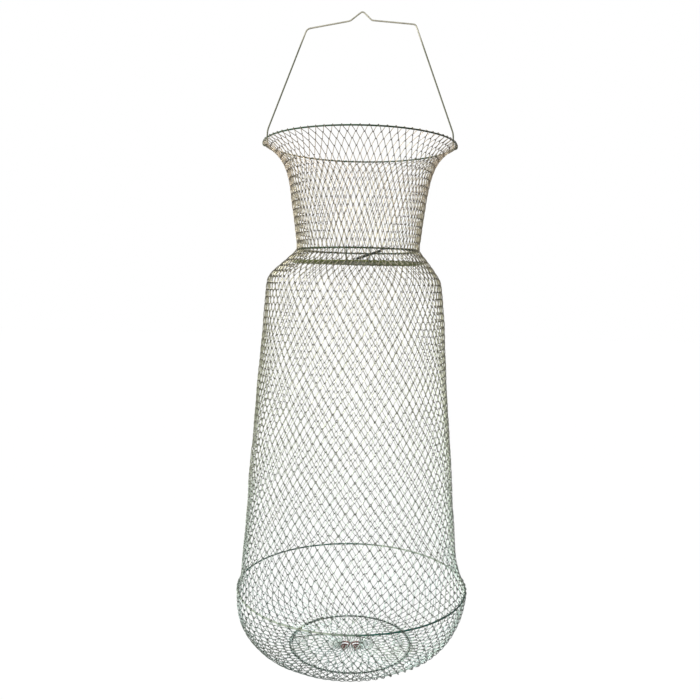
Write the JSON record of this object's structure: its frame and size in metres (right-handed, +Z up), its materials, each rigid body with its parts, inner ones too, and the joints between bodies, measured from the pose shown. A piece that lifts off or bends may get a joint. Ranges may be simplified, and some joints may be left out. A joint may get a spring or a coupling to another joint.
{
  "type": "wire keep net",
  "caption": "Collapsible wire-mesh fish keep net that hangs by its bail, with a flared throat, a sprung door under the neck, a long tapering body and a gathered base.",
  "frame": {"origin": "underside of the bail's peak, where a peg or a line holds the net", "axes": "+Z up along the stretched net, +X to the right across the bail, -Y to the front, where the door is hinged"},
  "size_m": [0.3322, 0.3316, 0.9219],
  "materials": {
    "bail_wire": "dull plated wire",
    "ring_wire": "dark green coated wire",
    "net_wire": "thin olive coated wire",
    "door_wire": "olive green coated wire",
    "spring_wire": "dark spring wire",
    "clip_wire": "copper plated wire"
  },
  "bodies": {
    "bail": {"bail": "bail_wire"},
    "rim": {"rim_ring": "ring_wire", "throat_net": "net_wire"},
    "neck": {"neck_ring": "ring_wire", "hinge_link_left": "ring_wire", "hinge_link_right": "ring_wire", "door_spring": "spring_wire", "body_net": "net_wire"},
    "door": {"door_hoop": "door_wire", "door_net": "door_wire"},
    "hoop": {"large_hoop": "ring_wire", "bowl_net": "net_wire"},
    "base": {"base_ring": "ring_wire", "base_net": "net_wire", "closing_wire": "bail_wire", "clip_left": "clip_wire", "clip_right": "clip_wire"}
  },
  "joints": [
    {"name": "bail_swing", "type": "hinge", "parent": "bail", "child": "rim", "pos_m": [0, 0, -0.1939], "axis": [1, 0, 0], "range_deg": [-50, 50]},
    {"name": "throat_collapse", "type": "slide", "parent": "rim", "child": "neck", "axis": [0, 0, 1], "range_m": [0, 0.1], "deforming": ["throat_net"]},
    {"name": "body_collapse", "type": "slide", "parent": "neck", "child": "hoop", "axis": [0, 0, 1], "range_m": [0, 0.4], "deforming": ["body_net"]},
    {"name": "base_collapse", "type": "slide", "parent": "hoop", "child": "base", "axis": [0, 0, 1], "range_m": [0, 0.075], "deforming": ["bowl_net"]},
    {"name": "door_open", "type": "hinge", "parent": "neck", "child": "door", "pos_m": [0, -0.08541, -0.36075], "axis": [1, 0, 0], "range_deg": [-70, 0], "stiffness_Nm_per_rad": 0.05, "springref_deg": 85.94, "deforming": ["door_spring"]}
  ]
}
